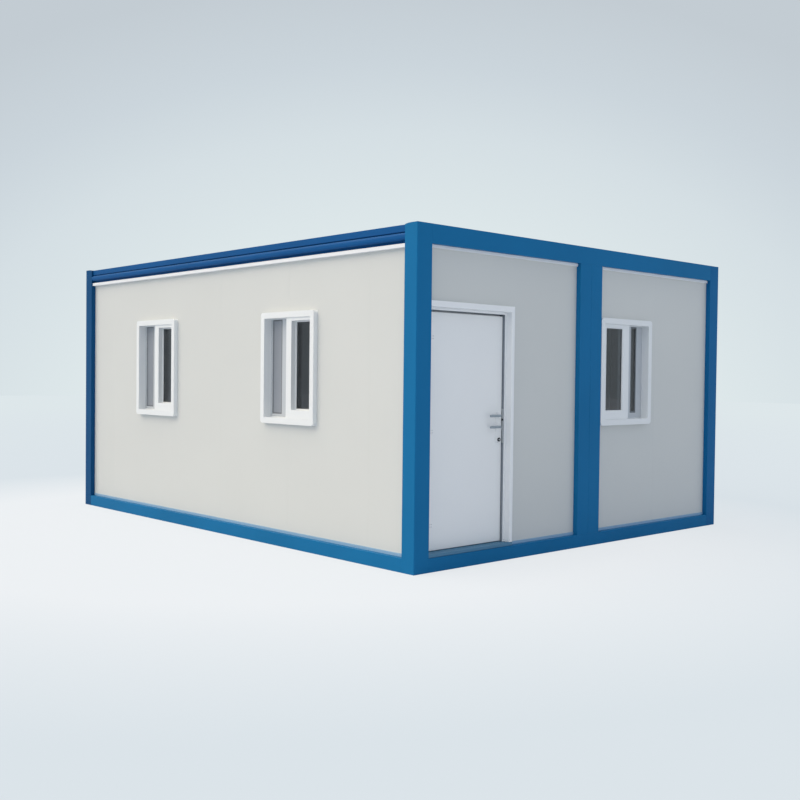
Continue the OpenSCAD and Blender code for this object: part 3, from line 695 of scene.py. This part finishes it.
# ---------------------------------------------------------------------------
# Door seal and threshold: a grey rubber strip in the frame that the leaf closes on,
# and a blue-grey anodised aluminium sill with a ribbed tread.
# ---------------------------------------------------------------------------
TREAD_PITCH = 14 * MM
TREAD_HALF = 2.5 * MM
TREAD_RISE = 1.5 * MM
TREAD_ROOT = 1 * MM
TREAD_TOP = 0.5
PRISM_FACES = ((0, 3, 2, 1), (4, 5, 6, 7), (0, 1, 5, 4), (1, 2, 6, 5), (2, 3, 7, 6), (3, 0, 4, 7))
SILL_NOSE = 5 * MM
JAMB = 42 * MM
SEAL_EDGE = 0.8 * MM
DRAWN_OUT = (3.0, 900.0, 900.0)
seal_rubber, tree, surface, place = finish_named("grey rubber door seal", Roughness=0.65, IOR=1.5)
tone_drift(tree, surface, place, "#8c949c", spread=0.04, patch=0.05)
seal = round_edges(cad_copy(["door_gasket"], "door_rubber_seal"), SEAL_EDGE)
fit_on(seal, "root", "rubber_seal", seal_rubber, "door_gasket")


def anodised(name, code):
    """Extruded aluminium, anodised blue-grey: a metal sheen drawn out along the sill."""
    mat, tree, surface, place = finish_named(name, Metallic=0.7, Roughness=0.42)
    drawn = add(tree, "ShaderNodeMapping", {"Vector": place})
    drawn.inputs["Scale"].default_value = DRAWN_OUT
    tone_drift(tree, surface, drawn.outputs["Vector"], code, spread=0.08, patch=1.0)
    return mat


sill_metal = anodised("blue-grey anodised aluminium", "#5c8aa8")
low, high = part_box("door_threshold")
sill = round_edges(cad_copy(["door_threshold"], "door_threshold_sill"), SILL_NOSE, segments=3,
                   wide=lambda a, b: max(a[1], b[1]) < low[1] + EDGE_SLACK, share=0.3)
fit_on(sill, "root", "threshold_metal", sill_metal, "door_threshold")
tread = bmesh.new()
rib_y = low[1] + TREAD_PITCH
while rib_y < high[1] - TREAD_PITCH:
    corners = [(x, rib_y + y, high[2] + z) for x in (low[0] + JAMB, high[0] - JAMB)
               for y, z in ((-TREAD_HALF, -TREAD_ROOT), (TREAD_HALF, -TREAD_ROOT),
                            (TREAD_HALF * TREAD_TOP, TREAD_RISE), (-TREAD_HALF * TREAD_TOP, TREAD_RISE))]
    verts = [tread.verts.new(corner) for corner in corners]
    for outline in PRISM_FACES:
        tread.faces.new([verts[i] for i in outline])
    rib_y += TREAD_PITCH
bmesh.ops.recalc_face_normals(tread, faces=tread.faces)
fit_on(mesh_piece(tread, "door_threshold_tread"), "root", "threshold_metal", sill_metal)

# ---------------------------------------------------------------------------
# Door leaf: two skins of light grey enamelled steel folded over a foam core. It hangs
# on three hinges and moves with the door body.
# ---------------------------------------------------------------------------
LEAF_FOLD = 2.5 * MM
leaf_enamel, tree, surface, place = finish_named("light grey door enamel", Roughness=0.38, IOR=1.5)
tone_drift(tree, surface, place, "#f6f7f6", spread=0.01, patch=0.8)
fine_grain(tree, surface, place, pitch=4 * MM, depth=0.03 * MM)
leaf = round_edges(cad_copy(["door_leaf"], "door_leaf_skins"), LEAF_FOLD, segments=3)
fit_on(leaf, "door", "door_paint", leaf_enamel, "door_leaf")

# ---------------------------------------------------------------------------
# Hinges: the middle knuckle of each hinge with its pin and leaf plate, of steel that is
# enamelled like the leaf. Four satin steel screws hold each plate to the leaf.
# ---------------------------------------------------------------------------
HINGE_SCREW_IN = 24 * MM
HINGE_SCREW_STEP = 16 * MM
HINGE_SCREW_RISE = 10 * MM
HINGE_EDGE = 0.6 * MM


def satin_steel(name, code, rough):
    """Satin metal, brushed, cast or plated: an even tone with a faint grain 0.5 mm wide."""
    mat, tree, surface, place = finish_named(name, Metallic=1.0, Roughness=rough)
    tone_drift(tree, surface, place, code, spread=0.05, patch=0.03)
    fine_grain(tree, surface, place, pitch=0.5 * MM, depth=0.01 * MM)
    return mat


screw_steel = satin_steel("satin steel screws and strike", "#c6cacd", 0.38)
hinges = round_edges(cad_copy(["door_hinge_pins"], "door_hinges_turned"), HINGE_EDGE)
fit_on(hinges, "door", "door_steel", leaf_enamel, "door_hinge_pins")
rows = [((high[0] - HINGE_SCREW_IN, (low[1] + high[1]) / 2, (low[2] + high[2]) / 2 + rise),
         (HINGE_SCREW_STEP, 0, 0), 2)
        for low, high in loose_boxes("door_hinge_pins")
        for rise in (-HINGE_SCREW_RISE, HINGE_SCREW_RISE)]
hinge_screws = screw_rows("hinge_screws", rows, (0, -1, 0),
                          washer=(4.2 * MM, 0.8 * MM), head=(2.4 * MM, 1.0 * MM), sides=HEX_SIDES)
fit_on(hinge_screws, "door", "door_steel", screw_steel)

# ---------------------------------------------------------------------------
# Lock: long steel plates on both faces of the leaf, enamelled like it and held by four
# screws each, and a key cylinder in a dark bezel with a bright core. A latch and a bolt
# stand out of the leaf's edge, and a steel strike plate faces them on the frame.
# ---------------------------------------------------------------------------
KEY_RADIUS = 14 * MM
KEY_HEIGHT = 32 * MM
PLATE_HALF = 20 * MM
ROSE_RISE = 6 * MM
PLATE_SCREW = 9 * MM
SEAL_THICK = 3 * MM
STRIKE_WIDTH = 26 * MM
STRIKE_END = 28 * MM
STRIKE_START = 2 * MM
STRIKE_BACK = 1.5 * MM
STRIKE_FRONT = 0.5 * MM
TONGUE = 12 * MM
TONGUE_START = 5 * MM
TONGUE_IN = 2 * MM
TONGUE_OUT = 4 * MM
LATCH_HALF, LATCH_PLACE = 9 * MM, 0.72
BOLT_HALF, BOLT_PLACE = 13 * MM, 0.38
PLATE_EDGE = 0.8 * MM
TURNED_EDGE = 0.2 * MM
TURNED_ANGLE = 20
TURNED_SIDES = 32
KEYWAY = (0.9 * MM, 0.3 * MM, 4 * MM)
BEZEL = [(13.0, -9.5), (17.0, -9.5), (17.0, 1.0), (15.5, 2.4), (9.4, 2.4), (8.4, 1.6),
         (8.4, -1.0), (13.0, -1.0)]
CORE = [(8.2, -1.0), (8.2, 1.0), (7.4, 1.8)]


def turned(name, centre, outward, profile, ring):
    """A turned shape that points along Y. Its profile is radius and height in millimetres. A
    ring closes on itself, and other shapes get a flat disc at each end."""
    bm = bmesh.new()
    rims = [[bm.verts.new((centre[0] + radius * MM * math.cos(math.tau * i / TURNED_SIDES),
                           centre[1] + outward * height * MM,
                           centre[2] + radius * MM * math.sin(math.tau * i / TURNED_SIDES)))
             for i in range(TURNED_SIDES)] for radius, height in profile]
    pairs = list(zip(rims, rims[1:])) + ([(rims[-1], rims[0])] if ring else [])
    for a, b in pairs:
        for i in range(TURNED_SIDES):
            k = (i + 1) % TURNED_SIDES
            bm.faces.new((a[i], a[k], b[k], b[i]))
    if not ring:
        bm.faces.new(rims[0])
        bm.faces.new(rims[-1])
    bmesh.ops.recalc_face_normals(bm, faces=bm.faces)
    return round_edges(mesh_piece(bm, name), TURNED_EDGE, segments=1, sharp=TURNED_ANGLE)


plates = round_edges(cad_copy(["door_lock_plates"], "door_lock_plates_pressed"), PLATE_EDGE)
fit_on(plates, "door", "door_steel", leaf_enamel, "door_lock_plates")
black_zinc = satin_steel("black zinc bezel", "#2b3036", 0.5)
core_nickel = satin_steel("nickel-plated key core", "#d5d8da", 0.3)
low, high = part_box("door_lock_plates")
key_x, key_z = high[0] - KEY_RADIUS, low[2] + KEY_HEIGHT
plate_x = low[0] + PLATE_HALF
for name, face, outward in (("outer", low[1], -1), ("inner", high[1], 1)):
    centre = (key_x, face, key_z)
    fit_on(turned(name + "_key_bezel", centre, outward, BEZEL, True), "door", "door_steel", black_zinc)
    fit_on(turned(name + "_key_core", centre, outward, CORE, False), "door", "door_steel", core_nickel)
    slot_face = face + outward * CORE[-1][1] * MM
    keyway = eased_bar(name + "_keyway",
                       (key_x - KEYWAY[0], slot_face - KEYWAY[1], key_z - KEYWAY[2]),
                       (key_x + KEYWAY[0], slot_face + KEYWAY[1], key_z + KEYWAY[2]))
    fit_on(keyway, "door", "door_steel", black_zinc)
    rows = [((plate_x - PLATE_SCREW, face - outward * ROSE_RISE, z), (2 * PLATE_SCREW, 0, 0), 2)
            for z in (low[2] + PLATE_SCREW, high[2] - PLATE_SCREW)]
    screws = screw_rows(name + "_plate_screws", rows, (0, outward, 0),
                        washer=(4 * MM, 0.8 * MM), head=(2.2 * MM, 1.0 * MM), sides=HEX_SIDES)
    fit_on(screws, "door", "door_steel", screw_steel)

seal_low, seal_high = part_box("door_gasket")
strike_x = seal_high[0] - SEAL_THICK
strike = eased_bar("lock_strike_plate",
                   (strike_x - STRIKE_BACK, seal_low[1] + STRIKE_START, key_z - STRIKE_END),
                   (strike_x + STRIKE_FRONT, seal_low[1] + STRIKE_WIDTH, high[2] + STRIKE_END))
fit_on(strike, "root", "door_steel", screw_steel)
leaf_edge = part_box("door_leaf")[1][0]
tongue_y = seal_low[1] + TONGUE_START
for name, half, share, finish in (("latch", LATCH_HALF, LATCH_PLACE, black_zinc),
                                  ("bolt", BOLT_HALF, BOLT_PLACE, screw_steel)):
    z = key_z + (high[2] - key_z) * share
    tongue = eased_bar("lock_" + name, (leaf_edge - TONGUE_IN, tongue_y, z - half),
                       (leaf_edge + TONGUE_OUT, tongue_y + TONGUE, z + half))
    fit_on(tongue, "door", "door_steel", finish)

# ---------------------------------------------------------------------------
# Levers: two cast grey handles with turned spindles, one over the other. The upper
# one works the latch and the lower one the bolt; each turns on its own body.
# ---------------------------------------------------------------------------
BAR_RADIUS = 11 * MM
LEVER_EDGE = 0.3 * MM
COLLAR = [(5.6, 0.5), (10.5, 0.5), (10.5, 5.0), (8.6, 9.0), (5.6, 9.0)]

lever_steel = satin_steel("satin cast lever metal", "#a6b0b8", 0.42)
plate_low, plate_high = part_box("door_lock_plates")
for node in ["upper_lever", "lower_lever"]:
    lever = round_edges(cad_copy([node], node + "_cast"), LEVER_EDGE)
    fit_on(lever, node + "_body", "door_steel", lever_steel, node)
    low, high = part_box(node)
    spindle_x, spindle_z = high[0] - BAR_RADIUS, (low[2] + high[2]) / 2
    for name, face, outward in (("outer", plate_low[1], -1), ("inner", plate_high[1], 1)):
        centre = (spindle_x, face, spindle_z)
        collar = turned(name + "_" + node + "_collar", centre, outward, COLLAR, True)
        fit_on(collar, node + "_body", "door_steel", lever_steel)

# ---------------------------------------------------------------------------
# Studio: pale floor with a painted pool of light around the cabin, soft sky that is
# brighter overhead, one broad warm key light, and the camera at eye height off the door corner.
# ---------------------------------------------------------------------------
FLOOR_HALF = 60.0
POOL_REACH = 40.0
POOL_BRIGHT = 3.8
POOL_EDGE = 6.5
POOL_CENTRE = (-1.5, 0.0, 0.0)
SHADOW_SHARE = 0.2
DOME = [(0.0, shade("#e7effc", 0.53)), (1.0, shade("#e4efff", 0.85))]
VIEW_SQUASH = 0.75
VIEW_SIDE = (0.735 * VIEW_SQUASH, -0.678 * VIEW_SQUASH, 0.0)
BACKDROP_DROP = 0.1
BACKDROP = [(0.22, linear("#dfe9eb")), (0.33, linear("#d5dfe4")), (0.39, linear("#cbd5dc")),
            (0.46, linear("#c3ccd3"))]
KEY_POWER = 2.7
KEY_WIDTH = math.radians(75)
KEY_DIRECTION = (1.0, -0.8, -1.7)
SENSOR = 36
FOCAL_SHARE = 1024.5 / 800
CAMERA_PLACE = (-7.976, -8.884, 1.608)
CAMERA_TURN = (-42.732, -1.337, 0.626)

floor_mesh = bpy.data.meshes.new("studio_floor")
floor_mesh.from_pydata([(-FLOOR_HALF, -FLOOR_HALF, 0), (FLOOR_HALF, -FLOOR_HALF, 0),
                        (FLOOR_HALF, FLOOR_HALF, 0), (-FLOOR_HALF, FLOOR_HALF, 0)], [], [(0, 1, 2, 3)])
floor = bpy.data.objects.new("studio_floor", floor_mesh)
SCENE.collection.objects.link(floor)
floor_paint, tree, surface, place = finish_named("pale studio floor", Roughness=0.9,
                                                 Specular_IOR_Level=0.0)
surface.inputs["Base Color"].default_value = linear("#bfc7d1")
# Camera rays see the floor mostly as a glow: a painted pool of light, brightest within 3.8 m of a spot
# beside the cabin and dimmer towards 6.5 m, mixed with a share of the lit floor.
away = add(tree, "ShaderNodeVectorMath", {0: place}, operation="DISTANCE")
away.inputs[1].default_value = POOL_CENTRE
spread = add(tree, "ShaderNodeMapRange", {"Value": away.outputs["Value"]})
spread.inputs["From Max"].default_value = POOL_REACH
painted_light_pool = ramp(tree, spread.outputs["Result"], [(POOL_BRIGHT / POOL_REACH, linear("#f3f6f8")),
                                             (POOL_EDGE / POOL_REACH, linear("#dde6eb")),
                                             (1.0, linear("#e0eaec"))])
glow = add(tree, "ShaderNodeEmission", {"Color": painted_light_pool})
ray = add(tree, "ShaderNodeLightPath")
part = add(tree, "ShaderNodeMath", {0: ray.outputs["Is Camera Ray"]}, operation="MULTIPLY")
part.inputs[1].default_value = 1 - SHADOW_SHARE
laid = add(tree, "ShaderNodeMixShader", {0: part.outputs[0], 1: surface.outputs[0],
                                         2: glow.outputs[0]})
tree.links.new(laid.outputs[0], tree.nodes["Material Output"].inputs["Surface"])
floor_mesh.materials.append(floor_paint)
floor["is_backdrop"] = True

world = bpy.data.worlds.new("studio")
SCENE.world = world
world.use_nodes = True
tree = world.node_tree
tree.nodes.clear()
sight = add(tree, "ShaderNodeTexCoord").outputs["Generated"]
height = add(tree, "ShaderNodeSeparateXYZ", {"Vector": sight})
lit = add(tree, "ShaderNodeBackground", {"Color": ramp(tree, height.outputs["Z"], DOME)}, Strength=1.0)
side = add(tree, "ShaderNodeVectorMath", {0: sight}, operation="DOT_PRODUCT")
side.inputs[1].default_value = VIEW_SIDE
lift = add(tree, "ShaderNodeMath", {0: height.outputs["Z"]}, operation="ADD")
lift.inputs[1].default_value = BACKDROP_DROP
flat = add(tree, "ShaderNodeCombineXYZ", {"X": side.outputs["Value"], "Y": lift.outputs[0]})
offset = add(tree, "ShaderNodeVectorMath", {0: flat.outputs[0]}, operation="LENGTH")
backdrop = ramp(tree, offset.outputs["Value"], BACKDROP)
plain = add(tree, "ShaderNodeBackground", {"Color": backdrop}, Strength=1.0)
path = add(tree, "ShaderNodeLightPath")
seen = add(tree, "ShaderNodeMath", {0: path.outputs["Is Camera Ray"],
                                    1: path.outputs["Is Transmission Ray"]}, operation="MAXIMUM")
mirrored = add(tree, "ShaderNodeMath", {0: seen.outputs[0], 1: path.outputs["Is Glossy Ray"]},
               operation="MAXIMUM")
mix = add(tree, "ShaderNodeMixShader", {0: mirrored.outputs[0], 1: lit.outputs[0], 2: plain.outputs[0]})
add(tree, "ShaderNodeOutputWorld", {"Surface": mix.outputs[0]})

key_light = bpy.data.lights.new("key", "SUN")
key_light.energy = KEY_POWER
key_light.angle = KEY_WIDTH
key_light.color = linear("#ffefd6")[:3]
key = bpy.data.objects.new("key", key_light)
key.rotation_mode = "QUATERNION"
key.rotation_quaternion = Vector(KEY_DIRECTION).to_track_quat("-Z", "Y")
SCENE.collection.objects.link(key)

lens = bpy.data.cameras.new("camera")
lens.sensor_width = SENSOR
lens.lens = FOCAL_SHARE * SENSOR
camera = bpy.data.objects.new("camera", lens)
camera.location = CAMERA_PLACE
yaw, pitch, roll = map(math.radians, CAMERA_TURN)
camera.rotation_mode = "QUATERNION"
camera.rotation_quaternion = (Matrix.Rotation(yaw, 3, "Z") @ Matrix.Rotation(math.pi / 2 + pitch, 3, "X")
                              @ Matrix.Rotation(roll, 3, "Z")).to_quaternion()
SCENE.collection.objects.link(camera)
SCENE.camera = camera
SCENE.view_settings.view_transform = "Standard"

low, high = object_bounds()
